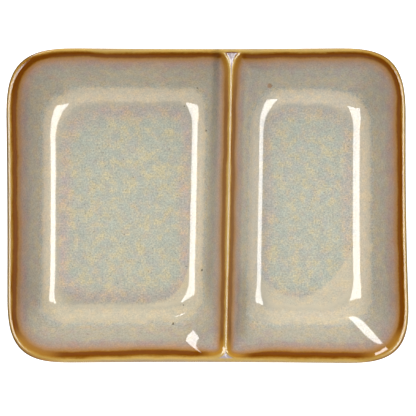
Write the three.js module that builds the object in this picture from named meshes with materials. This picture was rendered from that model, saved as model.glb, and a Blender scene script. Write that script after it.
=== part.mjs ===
// A small two-well dish of glazed stoneware, for a sauce on one side and a relish on the other.
//
// Millimetres, +Z up. The origin is on the table under the middle of the dish, +X runs towards the
// small well and +Y towards the far side. The clay is one fired piece: rim, divider, walls, floors
// and foot. The glaze is a coat fired onto it, and each zone of the coat has a thickness of its own:
// thin where it ran off the rim and the divider's crest, thick where it pooled on the floors. Every
// coat lies face to face on the clay, and the foot that stands on the kiln shelf is left bare.
//
// The form is a skin of closed rings. A ring is a plan outline at one height, and a section of the
// wall says how far in and how far down each ring lies. The clay is the same skin set back along
// its normals by the thickness of the glaze.

import * as THREE from "three";

// Overall size over the glaze, before the hand-formed sides draw in
const dishLength = 125.3;
const dishWidth = 98.4;
const dishHeight = 22;

// Hand-formed plan: how far the middle of each side draws in, and how far a side leans to its ends
const leftBow = 0.46;
const rightBow = 0.94;
const farBow = 0.59;
const nearBow = 0.55;
const leftLean = -0.26;
const rightLean = -0.67;
const nearLean = -0.12;

// How far the rim sags between the corners as the clay dries
const rimSag = 0.35;

// Outer corners: where each begins to turn, and how square the curve is (2 is a circle)
const farLeftCorner = 26;
const farRightCorner = 26.3;
const nearLeftCorner = 24.7;
const nearRightCorner = 23.8;
const outlinePower = 3.5;

// Corners of the well floors
const floorCorner = 9;
const floorPower = 2.2;

// Divider: its place along the dish, its lean and bow, and the round where it meets the rim
const dividerPlace = 6.6;
const dividerLean = 1.45;
const dividerBow = 0.33;
const farTeeReach = 6.4;
const nearTeeReach = 4.4;
const floorTeeReach = 8;
const landDip = 0.25;

// Section of the rim: the crest stands in from the outer edge and rolls off on both sides
const crestInset = 1.3;
const shoulderDrop = 1.6;
const lipWidth = 1.2;
const lipDrop = 1.6;

// Sloping walls of the wells, by their run in plan, and the coves that lead to the floors
const leftWallRun = 9.93;
const rightWallRun = 10.98;
const farWallRun = 11.65;
const nearWallRun = 12.7;
const largeDividerRun = 8.4;
const smallDividerRun = 7.5;
const coveHeight = 2.7;
const endCove = 3.5;
const longCove = 4;
const dividerCove = 3.2;

// Base: a bare foot ring round a glazed recess
const floorThickness = 4.7;
const recessRise = 1.3;
const footInset = 13.4;
const footWidth = 4;
const footHeight = 2;
const footEase = 0.4;
const footDraft = 0.5;
const glazeLineGap = 0.3;
const footCorner = 14;
const footPower = 2.4;

// Relief channel under the divider, which keeps the clay there about as thick as the walls
const channelWidth = 12;
const dividerCover = 9.7;
const channelEndGap = 3;
const channelEndRun = 8;

// Thickness of the glaze
const rimCoat = 0.28;
const wallCoat = 0.5;
const floorCoat = 0.8;
const outsideCoat = 0.4;
const undersideCoat = 0.4;

// Heights and depths that follow
const floorLevel = recessRise + floorThickness;
const wellDepth = dishHeight - floorLevel;
const shoulderLevel = dishHeight - shoulderDrop;
const glazeLineLevel = footHeight + glazeLineGap;
const footInnerInset = footInset + footWidth;
const recessInset = footInnerInset + footDraft;
const channelDepth = Math.max(0, dishHeight - dividerCover - recessRise);

// Where rings lie along the curves of the sections, and points along the straights of a ring
const lipShares = [0.15, 0.5, 1];
const coveShares = [0, 0.25, 0.5, 0.75, 1];
const rollShares = [1 / 3, 2 / 3, 1];
const outsideShares = [0.2, 0.4, 0.6, 0.8, 1];
const sideShares = [0.25, 0.5, 0.75];
const dividerShares = [0.08, 0.25, 0.5, 0.75, 0.92];

// The outside wall's curve from the shoulder to the glaze line: shares of its run in and of its height
const outsideCurveShares = [
  [0, 1],
  [0.13, 0.66],
  [0.5, 0.15],
  [1, 0],
];

// The relief channel's side from its mouth to its roof: shares of its half width and of its depth
const channelCurveShares = [
  [1, 0],
  [0.86, 0.28],
  [0.66, 0.6],
  [0.47, 0.85],
  [0.28, 1],
];

// The most of a ring's narrowest way that a corner or a round at the divider may take up
const cornerShare = 0.5;
const teeShare = 0.3;

const cornerSteps = 8;
const teeSteps = 6;

// Each half of the dish is set out from the divider's centre line to its own end wall
const largeHalf = {
  side: -1,
  span: dishLength / 2 + dividerPlace,
  wallRun: leftWallRun,
  dividerRun: largeDividerRun,
  farCorner: farLeftCorner,
  nearCorner: nearLeftCorner,
};
const smallHalf = {
  side: 1,
  span: dishLength / 2 - dividerPlace,
  wallRun: rightWallRun,
  dividerRun: smallDividerRun,
  farCorner: farRightCorner,
  nearCorner: nearRightCorner,
};

const outwards = new THREE.Vector2(1, 0);
const inwards = new THREE.Vector2(-1, 0);
const farwards = new THREE.Vector2(0, 1);
const nearwards = new THREE.Vector2(0, -1);
const { lerp, clamp } = THREE.MathUtils;

// A corner of a ring, as a superellipse of the given power where it is round, or a sharp mitre.
// The reach is where it begins to turn, and round runs from 0, a mitre, to 1, the full curve.
function turn(at, arriving, leaving, { reach, power, round }, steps) {
  return Array.from({ length: steps + 1 }, (_, i) => {
    const t = i / steps;
    const angle = (t * Math.PI) / 2;
    const curveIn = Math.sin(angle) ** (2 / power);
    const curveOut = 1 - Math.max(0, Math.cos(angle)) ** (2 / power);
    const along = lerp(Math.min(2 * t, 1), curveIn, round);
    const past = lerp(Math.max(2 * t - 1, 0), curveOut, round);
    return at
      .clone()
      .addScaledVector(arriving, (along - 1) * reach)
      .addScaledVector(leaving, past * reach);
  });
}

// A closed ring in plan round one half of the dish. It starts in the middle of the far corner of the
// divider, runs out along the far wall, round the end and back along the near wall, and comes home
// along the divider. x is the distance from the divider's centre line and y the place across.
function planRing(half, inset, corners) {
  const end = half.span - inset.end;
  const far = dishWidth / 2 - inset.far;
  const near = inset.near - dishWidth / 2;
  const narrowest = Math.min(end - inset.divider, far - near);
  const fitted = (corner, share) => ({ ...corner, reach: Math.min(corner.reach, narrowest * share) });
  const at = (x, y) => new THREE.Vector2(x, y);
  const turns = [
    turn(at(inset.divider, far), farwards, outwards, fitted(corners.farTee, teeShare), teeSteps),
    turn(at(end, far), outwards, nearwards, fitted(corners.far, cornerShare), cornerSteps),
    turn(at(end, near), nearwards, inwards, fitted(corners.near, cornerShare), cornerSteps),
    turn(at(inset.divider, near), inwards, farwards, fitted(corners.nearTee, teeShare), teeSteps),
  ];
  const straights = [sideShares, sideShares, sideShares, dividerShares];
  const loop = turns.flatMap((points, i) => {
    const next = turns[(i + 1) % turns.length][0];
    return [...points, ...straights[i].map((share) => points.at(-1).clone().lerp(next, share))];
  });
  const start = teeSteps / 2;
  return [...loop.slice(start), ...loop.slice(0, start)];
}

// How many steps of a ring lie from the far corner of the divider to the near one, round the end
const outerSteps = teeSteps + 2 * cornerSteps + 3 * (sideShares.length + 1);

// The place of a point once the plan is drawn in and leaned by hand and the rim has sagged
function formed(half, plan, z) {
  const flat = dividerPlace + half.side * plan.x;
  const X = flat / (dishLength / 2);
  const Y = plan.y / (dishWidth / 2);
  const bulgeX = 1 - X * X;
  const bulgeY = 1 - Y * Y;
  const right = -rightBow * bulgeY + rightLean * Y;
  const left = leftBow * bulgeY + leftLean * Y;
  const middle = bulgeX * (dividerLean * Y + dividerBow * bulgeY);
  const far = -farBow * bulgeX;
  const near = nearBow * bulgeX + nearLean * X;
  const rise = clamp((z - floorLevel) / wellDepth, 0, 1);
  const sag = rimSag * rise * (bulgeX * Y * Y + bulgeY * X * X);
  return new THREE.Vector3(
    flat + lerp(left, right, (1 + X) / 2) + middle,
    plan.y + lerp(near, far, (1 + Y) / 2),
    z - sag,
  );
}

// The section of a well wall as [run in plan, drop] from the crest: lip, straight slope and cove
function wallSection(run, coveReach) {
  const slope = run / wellDepth;
  const straightEnd = wellDepth - coveHeight;
  const point = (x, y) => new THREE.Vector2(x, y);
  const lip = new THREE.QuadraticBezierCurve(
    point(0, 0),
    point(lipWidth, 0),
    point(lipWidth + lipDrop * slope, lipDrop),
  );
  const cove = new THREE.QuadraticBezierCurve(
    point(lipWidth + straightEnd * slope, straightEnd),
    point(lipWidth + run, wellDepth),
    point(lipWidth + run + coveReach, wellDepth),
  );
  return [
    ...lipShares.map((share) => lip.getPoint(share)),
    ...coveShares.map((share) => cove.getPoint(share)),
  ];
}

// Corners of a ring part of the way from the rim, 0, to the floor, 1
function wellCorners(half, share) {
  const power = lerp(outlinePower, floorPower, share);
  const outer = (reach) => ({ reach: lerp(reach - crestInset, floorCorner, share), power, round: 1 });
  const tee = (reach) => ({ reach: lerp(reach, floorTeeReach, share), power: 2, round: 1 });
  return {
    far: outer(half.farCorner),
    near: outer(half.nearCorner),
    farTee: tee(farTeeReach),
    nearTee: tee(nearTeeReach),
  };
}

// Corners of a ring of the rim, the outside or the foot, where the divider's corners are mitred
function outsideCorners(half, inset) {
  const share = clamp(inset / footInset, 0, 1);
  const power = lerp(outlinePower, footPower, share);
  const outer = (reach) => ({ reach: lerp(reach, footCorner, share), power, round: 1 });
  const tee = (reach) => ({ reach, power: 2, round: 0 });
  return {
    far: outer(half.farCorner),
    near: outer(half.nearCorner),
    farTee: tee(farTeeReach),
    nearTee: tee(nearTeeReach),
  };
}

// The whole surface of the dish: its points, the glaze over each, and its faces by zone
class Skin {
  constructor() {
    this.points = [];
    this.coats = [];
    this.faces = [];
  }

  ring(points, coat) {
    const first = this.points.length;
    this.points.push(...points);
    this.coats.push(...points.map(() => coat));
    return points.map((_, i) => first + i);
  }

  face(zone, a, b, c) {
    if (a !== b && b !== c && c !== a) this.faces.push({ zone, corners: [a, b, c] });
  }

  // Two faces over four corners, given anticlockwise for an eye outside
  quad(zone, a, b, c, d) {
    this.face(zone, a, b, c);
    this.face(zone, a, c, d);
  }

  // The band from one closed ring to the next. Its face is on the left of the first ring's run, seen
  // from above a well, and turned puts it on the other side
  loft(zone, from, to, turned) {
    from.forEach((_, i) => {
      const j = (i + 1) % from.length;
      if (turned) this.quad(zone, from[j], from[i], to[i], to[j]);
      else this.quad(zone, from[i], from[j], to[j], to[i]);
    });
  }

  // Closes a half ring with rungs from its far side to its near side
  cap(zone, ring, turned) {
    const at = (i) => ring[(i + ring.length) % ring.length];
    const rung = (a, b, c, d) => (turned ? this.quad(zone, d, c, b, a) : this.quad(zone, a, b, c, d));
    for (let i = 0; i < outerSteps / 2; i++)
      rung(at(i), at(i + 1), at(outerSteps - i - 1), at(outerSteps - i));
    for (let i = 0; i < (ring.length - outerSteps) / 2; i++)
      rung(at(-i - 1), at(-i), at(outerSteps + i), at(outerSteps + i + 1));
  }
}

const skin = new Skin();

// A ring that crosses the divider's line at one height, as the outer parts of the rings of the two
// halves, which share the two points on that line
function wholeRing(planOf, z, coat) {
  const points = (half) =>
    planOf(half)
      .slice(0, outerSteps + 1)
      .map((plan) => formed(half, plan, z));
  const large = skin.ring(points(largeHalf), coat);
  const small = skin.ring(points(smallHalf).slice(1, -1), coat);
  return { large, small: [large[0], ...small, large.at(-1)] };
}

// A ring that follows the outline of the dish, set in evenly
function outsideRing(inset, z, coat) {
  const even = { end: inset, far: inset, near: inset, divider: 0 };
  return wholeRing((half) => planRing(half, even, outsideCorners(half, inset)), z, coat);
}

// The same ring as one closed run, anticlockwise from above
const wholeLoop = (ring) => [...ring.large, ...ring.small.slice(1, -1).reverse()];

// Crest of the rim and of the divider, with the small sunk land where they meet
function layCrest() {
  const rim = outsideRing(crestInset, dishHeight, rimCoat);
  const even = { end: crestInset, far: crestInset, near: crestInset, divider: 0 };
  const alongDivider = planRing(largeHalf, even, outsideCorners(largeHalf, crestInset))
    .slice(outerSteps + 1)
    .map((plan) => formed(largeHalf, plan, dishHeight));
  const ridge = skin.ring(alongDivider, rimCoat);
  [rim.large[0], rim.large.at(-1)].forEach((i) => {
    skin.points[i].z -= landDip;
  });
  return { rim, large: [...rim.large, ...ridge], small: [...rim.small, ...ridge] };
}

// One well, from the crest down over the lip, the wall and the cove, and closed by its floor
function sinkWell(zone, half, crest) {
  const end = wallSection(half.wallRun, endCove);
  const far = wallSection(farWallRun, longCove);
  const near = wallSection(nearWallRun, longCove);
  const divider = wallSection(half.dividerRun, dividerCove);
  const turned = half.side > 0;
  const floorRing = end.reduce((above, step, i) => {
    const share = step.x / end.at(-1).x;
    const inset = {
      end: crestInset + step.x,
      far: crestInset + far[i].x,
      near: crestInset + near[i].x,
      divider: divider[i].x,
    };
    const plan = planRing(half, inset, wellCorners(half, share));
    const onLip = i < lipShares.length;
    const coat = onLip
      ? lerp(rimCoat, wallCoat, lipShares[i])
      : lerp(wallCoat, floorCoat, coveShares[i - lipShares.length]);
    const ring = skin.ring(
      plan.map((at) => formed(half, at, dishHeight - step.y)),
      coat,
    );
    skin.loft(onLip ? "rim" : zone, above, ring, turned);
    return ring;
  }, crest);
  skin.cap(zone, floorRing, turned);
}

// The outer side of the rim, rolled over from the crest to the shoulder
function rollRim(crestRing) {
  return rollShares.reduce((above, share) => {
    const angle = (share * Math.PI) / 2;
    const inset = crestInset * (1 - Math.sin(angle));
    const z = dishHeight - shoulderDrop * (1 - Math.cos(angle));
    const ring = outsideRing(inset, z, lerp(rimCoat, outsideCoat, share));
    skin.loft("rim", wholeLoop(above), wholeLoop(ring), true);
    return ring;
  }, crestRing);
}

// The outside wall, from the shoulder in to the line where the glaze ends above the foot
function curveOutside(shoulder) {
  const [a, b, c, d] = outsideCurveShares.map(
    ([run, rise]) =>
      new THREE.Vector2(run * footInset, lerp(glazeLineLevel, shoulderLevel, rise)),
  );
  const curve = new THREE.CubicBezierCurve(a, b, c, d);
  return outsideShares.reduce((above, share) => {
    const at = curve.getPoint(share);
    const ring = outsideRing(at.x, at.y, outsideCoat);
    skin.loft("outside", wholeLoop(above), wholeLoop(ring), true);
    return ring;
  }, shoulder);
}

// The bare foot ring, eased at both edges, up to the recess inside it
function turnFoot(glazeLine) {
  const section = [
    [footInset + footEase / 2, footHeight],
    [footInset + footEase / 2, footEase],
    [footInset + footEase, 0],
    [footInnerInset - footEase, 0],
    [footInnerInset, footEase],
  ];
  const inner = section.reduce((above, [inset, z]) => {
    const ring = outsideRing(inset, z, 0);
    skin.loft("foot", wholeLoop(above), wholeLoop(ring), true);
    return ring;
  }, glazeLine);
  const recess = outsideRing(recessInset, recessRise, undersideCoat);
  skin.loft("foot", wholeLoop(inner), wholeLoop(recess), true);
  return recess;
}

// A ring of the relief channel: a slot under the divider, which draws in at its ends as it narrows
function channelRing(acrossShare, z) {
  const halfWidth = (channelWidth / 2) * acrossShare;
  const inset = recessInset + channelEndGap + channelEndRun * (1 - acrossShare);
  const slot = (half) => ({ end: half.span - halfWidth, far: inset, near: inset, divider: 0 });
  const round = { reach: halfWidth, power: 2, round: 1 };
  const mitre = { reach: halfWidth, power: 2, round: 0 };
  const corners = { far: round, near: round, farTee: mitre, nearTee: mitre };
  return wholeRing((half) => planRing(half, slot(half), corners), z, undersideCoat);
}

// The glazed recess inside the foot, and the channel that rises from it under the divider
function closeUnderside(recess) {
  const roof = channelCurveShares.reduce((above, [across, rise]) => {
    const ring = channelRing(across, recessRise + channelDepth * rise);
    skin.loft("underside", wholeLoop(above), wholeLoop(ring), true);
    return ring;
  }, recess);
  for (let i = 0; i < outerSteps; i++)
    skin.quad("underside", roof.large[i + 1], roof.large[i], roof.small[i], roof.small[i + 1]);
}

const crest = layCrest();
sinkWell("largeWell", largeHalf, crest.large);
sinkWell("smallWell", smallHalf, crest.small);
closeUnderside(turnFoot(curveOutside(rollRim(crest.rim))));

// Position and faces as a geometry of its own, without the points that no face uses
function geometryOf(points, faces) {
  const used = [...new Set(faces.flat())];
  const place = new Map(used.map((from, to) => [from, to]));
  const geometry = new THREE.BufferGeometry();
  const values = used.flatMap((i) => points[i].toArray());
  geometry.setAttribute("position", new THREE.Float32BufferAttribute(values, 3));
  geometry.setIndex(faces.flat().map((i) => place.get(i)));
  return geometry;
}

// The clay under each point of the skin: set back along the normal by the glaze's thickness
function clayUnder(surface) {
  const geometry = new THREE.BufferGeometry().setFromPoints(surface.points);
  geometry.setIndex(surface.faces.flatMap((face) => face.corners));
  geometry.computeVertexNormals();
  const normals = geometry.getAttribute("normal");
  return surface.points.map((point, i) => {
    const normal = new THREE.Vector3().fromBufferAttribute(normals, i);
    return point.clone().addScaledVector(normal, -surface.coats[i]);
  });
}

const clay = clayUnder(skin);

// The coat over one zone: the skin outside, the clay's face inside, and ribbons round its borders.
// A ribbon is split alike for the two coats that meet there, so that they touch face to face.
function coatOver(zone) {
  const below = skin.points.length;
  const top = skin.faces.filter((face) => face.zone === zone).map((face) => face.corners);
  const edges = top.flatMap(([a, b, c]) => [
    [a, b],
    [b, c],
    [c, a],
  ]);
  const known = new Set(edges.map(([a, b]) => `${a},${b}`));
  const border = edges.filter(([a, b]) => !known.has(`${b},${a}`));
  const ribbons = border.flatMap(([a, b]) =>
    a < b
      ? [
          [b, a, b + below],
          [b + below, a, a + below],
        ]
      : [
          [b, a, a + below],
          [b, a + below, b + below],
        ],
  );
  const bottom = top.map(([a, b, c]) => [c + below, b + below, a + below]);
  return geometryOf([...skin.points, ...clay], [...top, ...bottom, ...ribbons]);
}

// Finishes: bare fired clay, and one reactive glaze that breaks to brown on edges and pools pale
function finish(colour, roughness) {
  return new THREE.MeshStandardMaterial({ color: colour, roughness, metalness: 0 });
}

function piece(name, geometry, material) {
  const mesh = new THREE.Mesh(geometry, material);
  mesh.name = name;
  return mesh;
}

const stonewareBody = piece(
  "stoneware_body",
  geometryOf(
    clay,
    skin.faces.map((face) => face.corners),
  ),
  finish(0xb79b7a, 0.85),
);
const largeWellGlaze = piece("large_well_glaze", coatOver("largeWell"), finish(0xbdb9a5, 0.12));
const smallWellGlaze = piece("small_well_glaze", coatOver("smallWell"), finish(0xbdb9a5, 0.12));
const rimGlaze = piece("rim_glaze", coatOver("rim"), finish(0x8a5c20, 0.15));
const outerWallGlaze = piece("outer_wall_glaze", coatOver("outside"), finish(0xa89a85, 0.15));
const undersideGlaze = piece("underside_glaze", coatOver("underside"), finish(0xb0a892, 0.2));

const dish = new THREE.Group();
dish.name = "two_well_dish";
dish.add(stonewareBody, largeWellGlaze, smallWellGlaze, rimGlaze, outerWallGlaze, undersideGlaze);

export default dish;
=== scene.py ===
# %% [markdown]
# # A two-well dish in reactive glaze
# A small stoneware dish for soy sauce and a relish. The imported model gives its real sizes, and this
# lesson gives it its surface: a fine curved form, a glaze that breaks to brown where it ran thin
# and pools pale where it lay thick, and the soft light of a studio.

import bpy
import numpy as np
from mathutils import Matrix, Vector


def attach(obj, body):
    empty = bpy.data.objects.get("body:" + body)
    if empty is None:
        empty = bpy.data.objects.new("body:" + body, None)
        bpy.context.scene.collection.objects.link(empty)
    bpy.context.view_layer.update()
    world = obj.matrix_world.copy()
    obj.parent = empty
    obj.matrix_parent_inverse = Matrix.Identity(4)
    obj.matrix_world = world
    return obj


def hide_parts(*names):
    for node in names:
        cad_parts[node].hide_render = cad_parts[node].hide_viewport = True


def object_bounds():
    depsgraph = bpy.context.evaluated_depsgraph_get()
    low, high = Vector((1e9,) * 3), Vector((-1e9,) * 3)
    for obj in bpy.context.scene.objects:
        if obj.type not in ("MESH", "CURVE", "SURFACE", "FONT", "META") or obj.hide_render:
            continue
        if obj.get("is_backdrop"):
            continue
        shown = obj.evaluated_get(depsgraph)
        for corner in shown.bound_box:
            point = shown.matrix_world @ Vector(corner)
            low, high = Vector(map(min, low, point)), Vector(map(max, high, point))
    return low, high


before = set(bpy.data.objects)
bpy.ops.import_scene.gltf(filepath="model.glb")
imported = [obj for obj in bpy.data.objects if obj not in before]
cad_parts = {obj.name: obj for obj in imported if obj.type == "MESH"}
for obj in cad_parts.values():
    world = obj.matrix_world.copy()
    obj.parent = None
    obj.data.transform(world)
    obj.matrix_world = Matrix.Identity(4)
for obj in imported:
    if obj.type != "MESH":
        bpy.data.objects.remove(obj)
cad_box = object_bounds()
print("nodes:", ", ".join(sorted(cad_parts)))

# %% [markdown]
# ## Sizes
# The dish was pressed and trued by hand, so no side is quite straight. Its form is set out in
# millimetres: an outline, a section for the walls, and each side's bow and lean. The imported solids
# come from the same outline, levels and slopes and lie a sixth of a millimetre away on average.
# Here the lip is finer and each inner corner has its own curve, up to 1.7 mm away.

# %% Sizes in millimetres
MM = 0.001
DISH_LENGTH, DISH_WIDTH, DISH_HEIGHT = 125.3, 98.4, 22
LEFT_BOW, RIGHT_BOW, FAR_BOW, NEAR_BOW = 0.46, 0.94, 0.59, 0.55
LEFT_LEAN, RIGHT_LEAN, NEAR_LEAN = -0.26, -0.67, -0.12
RIM_SAG = 0.35
OUTLINE_POWER, FLOOR_POWER, FOOT_POWER, ROUND_POWER = 3.5, 2.2, 2.4, 2
FOOT_CORNER = 14
DIVIDER_PLACE, DIVIDER_LEAN, DIVIDER_BOW = 6.6, 1.45, 0.33
FAR_TEE, NEAR_TEE = (7.5, 3), (2.8, 4.6)
CREST_INSET, SHOULDER_DROP, LIP_WIDTH, LIP_DROP = 0.9, 1.4, 0.45, 1.6
FAR_RUN, NEAR_RUN = 12.8, 13.85
COVE_HEIGHT, END_COVE, LONG_COVE, DIVIDER_COVE = 2.7, 3.5, 4, 3.2
FLOOR_THICKNESS, RECESS_RISE = 4.7, 1.3
FOOT_INSET, FOOT_WIDTH, FOOT_HEIGHT = 13.4, 4, 2
FOOT_EASE, FOOT_DRAFT, GLAZE_LINE_GAP = 0.4, 0.5, 0.3
LAND_DIP, LAND_EASE, BRINK = 0.25, 0.7, 0.25
CHANNEL_WIDTH, DIVIDER_COVER, CHANNEL_END_GAP, CHANNEL_END_RUN = 12, 9.7, 3, 8
RIM_COAT, WALL_COAT, FLOOR_COAT, OUTSIDE_COAT, UNDERSIDE_COAT = 0.28, 0.5, 0.8, 0.4, 0.4
FLOOR_LEVEL = RECESS_RISE + FLOOR_THICKNESS
WELL_DEPTH = DISH_HEIGHT - FLOOR_LEVEL
# A corner's two reaches are at the crest and on the floor, a tee's are along and across the divider.
LARGE = dict(side=-1, span=DISH_LENGTH / 2 + DIVIDER_PLACE, run=11.08, divider_run=9.15,
             far_corner=(26, 16), near_corner=(24.7, 9),
             floor_tees=((7.5, 6.5), (8.5, 7.5)), tee_fills=(0, 5.5),
             divider_speed=0.3, divider_shift=0.5)
SMALL = dict(side=1, span=DISH_LENGTH / 2 - DIVIDER_PLACE, run=12.5, divider_run=8.25,
             far_corner=(26.3, 11), near_corner=(23.8, 11),
             floor_tees=((14, 9), (8, 7)), tee_fills=(0, 0),
             divider_speed=0.25, divider_shift=0)
print(f"well depth {WELL_DEPTH:.1f} mm, floor at {FLOOR_LEVEL:.1f} mm")

# %% [markdown]
# ## Rings in plan
# Every level is a closed ring of four straights and four corners. It could be a Bezier curve, but
# the surface needs the same count of points at every level, so the rings are worked out with
# numpy, all at once. An outer corner is a superellipse, squarer than a circle.

# %% Steps round a ring
TEE_STEPS, CORNER_STEPS, SIDE_STEPS, DIVIDER_STEPS = 24, 36, 30, 48
OUTER_STEPS = TEE_STEPS + 2 * CORNER_STEPS + 3 * SIDE_STEPS
CORNER_SHARE, TEE_SHARE = 0.5, 0.3
joined = np.concatenate
OUT, IN = np.array([1, 0]), np.array([-1, 0])
FARWARD, NEARWARD = np.array([0, 1]), np.array([0, -1])


def lerp(a, b, share):
    """A share of the way from a to b."""
    return a + (b - a) * share


def shares(steps):
    """The numbers from 0 to 1 in even steps."""
    return np.linspace(0, 1, steps + 1)


# %% One corner of all rings
def turn(at, arriving, leaving, reaches, power, round_share, steps):
    """A corner of every ring. With the angle running from 0 to 90 degrees, the way gone along the
    arriving side is sin(angle) to the power 2 / n, and the way gone along the leaving side is
    1 - cos(angle) to the power 2 / n, each times its reach. A round share of 0 gives a mitre."""
    t = shares(steps)
    angle = t * np.pi / 2
    curve_in = np.sin(angle) ** (2 / power[:, None])
    curve_out = 1 - np.cos(angle).clip(0) ** (2 / power[:, None])
    along = lerp(np.minimum(2 * t, 1), curve_in, round_share[:, None])
    past = lerp(np.maximum(2 * t - 1, 0), curve_out, round_share[:, None])
    step_in = ((along - 1) * reaches[0][:, None])[..., None] * arriving
    step_out = (past * reaches[1][:, None])[..., None] * leaving
    return at[:, None] + step_in + step_out


def straight(start, end, steps):
    """Points between two corners, evenly spaced, without the corners' own ends."""
    share = shares(steps)[1:-1, None]
    return lerp(start[:, None], end[:, None], share)


# %% All rings of one half of the dish
def plan_rings(half, end, far, near, divider, corners):
    """Rings round one half, from how far each side is set in. They start in the middle of the
    divider's far corner and run out, round the end and home along the divider. A point's first
    value is its distance from the divider's centre line."""
    end_x, far_y, near_y = half["span"] - end, DISH_WIDTH / 2 - far, near - DISH_WIDTH / 2
    narrow = np.minimum(end_x - divider, far_y - near_y)
    place = lambda x, y: np.stack(np.broadcast_arrays(x, y), axis=-1).astype(float)
    spots = [
        (place(divider, far_y), FARWARD, OUT, "far_tee", TEE_SHARE, TEE_STEPS),
        (place(end_x, far_y), OUT, NEARWARD, "far", CORNER_SHARE, CORNER_STEPS),
        (place(end_x, near_y), NEARWARD, IN, "near", CORNER_SHARE, CORNER_STEPS),
        (place(divider, near_y), IN, FARWARD, "near_tee", TEE_SHARE, TEE_STEPS),
    ]
    turns = []
    for at, arriving, leaving, name, share, steps in spots:
        reaches, power, round_share = corners[name]
        reaches = [np.minimum(reach, narrow * share) for reach in reaches]
        turns.append(turn(at, arriving, leaving, reaches, power, round_share, steps))
    steps = [SIDE_STEPS, SIDE_STEPS, SIDE_STEPS, DIVIDER_STEPS]
    run = []
    for i, points in enumerate(turns):
        run += [points, straight(points[:, -1], turns[(i + 1) % 4][:, 0], steps[i])]
    return np.roll(joined(run, axis=1), -(TEE_STEPS // 2), axis=1)


# %% [markdown]
# ## The hand that formed it
# The sides draw in by up to a millimetre and the divider leans. A lattice could bend the finished
# mesh, but a formula on the points is exact, and every ring goes through it.

# %% Draw the sides in and lean the divider
def formed(half, plan, z):
    """The place of plan points at height z. A side's bow falls off as one minus the square of the
    place along it, its lean grows evenly along it, and both fade to the other side of the dish.
    The rim sags between the corners by the same squares."""
    flat = DIVIDER_PLACE + half["side"] * plan[..., 0]
    X, Y = flat / (DISH_LENGTH / 2), plan[..., 1] / (DISH_WIDTH / 2)
    bulge_x, bulge_y = 1 - X * X, 1 - Y * Y
    right = -RIGHT_BOW * bulge_y + RIGHT_LEAN * Y
    left = LEFT_BOW * bulge_y + LEFT_LEAN * Y
    middle = bulge_x * (DIVIDER_LEAN * Y + DIVIDER_BOW * bulge_y)
    far, near = -FAR_BOW * bulge_x, NEAR_BOW * bulge_x + NEAR_LEAN * X
    rise = ((z - FLOOR_LEVEL) / WELL_DEPTH).clip(0, 1)
    sag = RIM_SAG * rise * (bulge_x * Y * Y + bulge_y * X * X)
    x = flat + lerp(left, right, (1 + X) / 2) + middle
    y = plan[..., 1] + lerp(near, far, (1 + Y) / 2)
    return np.stack([x, y, z - sag], axis=-1)


# %% [markdown]
# ## Sections
# The rim rolls over in a small curve, the slope is straight, and a cove leads to the floor, because
# a sharp inner corner would crack in the kiln and couldn't be wiped clean. Bezier curves give the
# same tangents where the stretches meet.

# %% Bezier curves through named points
LIP_STEPS, LAND_STEPS, WALL_STEPS, COVE_STEPS = 14, 6, 14, 20
LAND_END = 0.15


def bezier(points, t):
    """A Bezier curve of any degree at the shares t, by drawing each point towards the next."""
    rows = [np.asarray(p, float)[None, :] for p in points]
    while len(rows) > 1:
        rows = [lerp(a, b, t[:, None]) for a, b in zip(rows, rows[1:])]
    return rows[0]


lip_shares = joined([np.linspace(0, LAND_END, LAND_STEPS + 1)[1:],
                     np.linspace(LAND_END, 1, LIP_STEPS - LAND_STEPS + 1)[1:]])
wall_shares = shares(WALL_STEPS)[1:-1]
cove_shares = shares(COVE_STEPS)


# %% The well's section
def wall_section(run, cove_reach):
    """Run in plan and drop from the crest of each ring: lip curve, straight slope, cove curve."""
    slope, straight_end = run / WELL_DEPTH, WELL_DEPTH - COVE_HEIGHT
    lip_end = (LIP_WIDTH + LIP_DROP * slope, LIP_DROP)
    cove_start = (LIP_WIDTH + straight_end * slope, straight_end)
    lip = bezier([(0, 0), (LIP_WIDTH, 0), lip_end], lip_shares)
    wall = bezier([lip_end, cove_start], wall_shares)
    foot = (LIP_WIDTH + run, WELL_DEPTH)
    cove = bezier([cove_start, foot, (LIP_WIDTH + run + cove_reach, WELL_DEPTH)], cove_shares)
    return joined([lip, wall, cove])


print("rings in a well wall:", len(wall_section(FAR_RUN, LONG_COVE)))

# %% [markdown]
# ## One skin, cut into coats
# The glaze is one coat, but its zones differ in thickness and colour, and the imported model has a
# node for each. So the whole surface is laid out first, with shared points and normals, and each
# zone is cut out of it. Reflections run across the borders without a seam.

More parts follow.
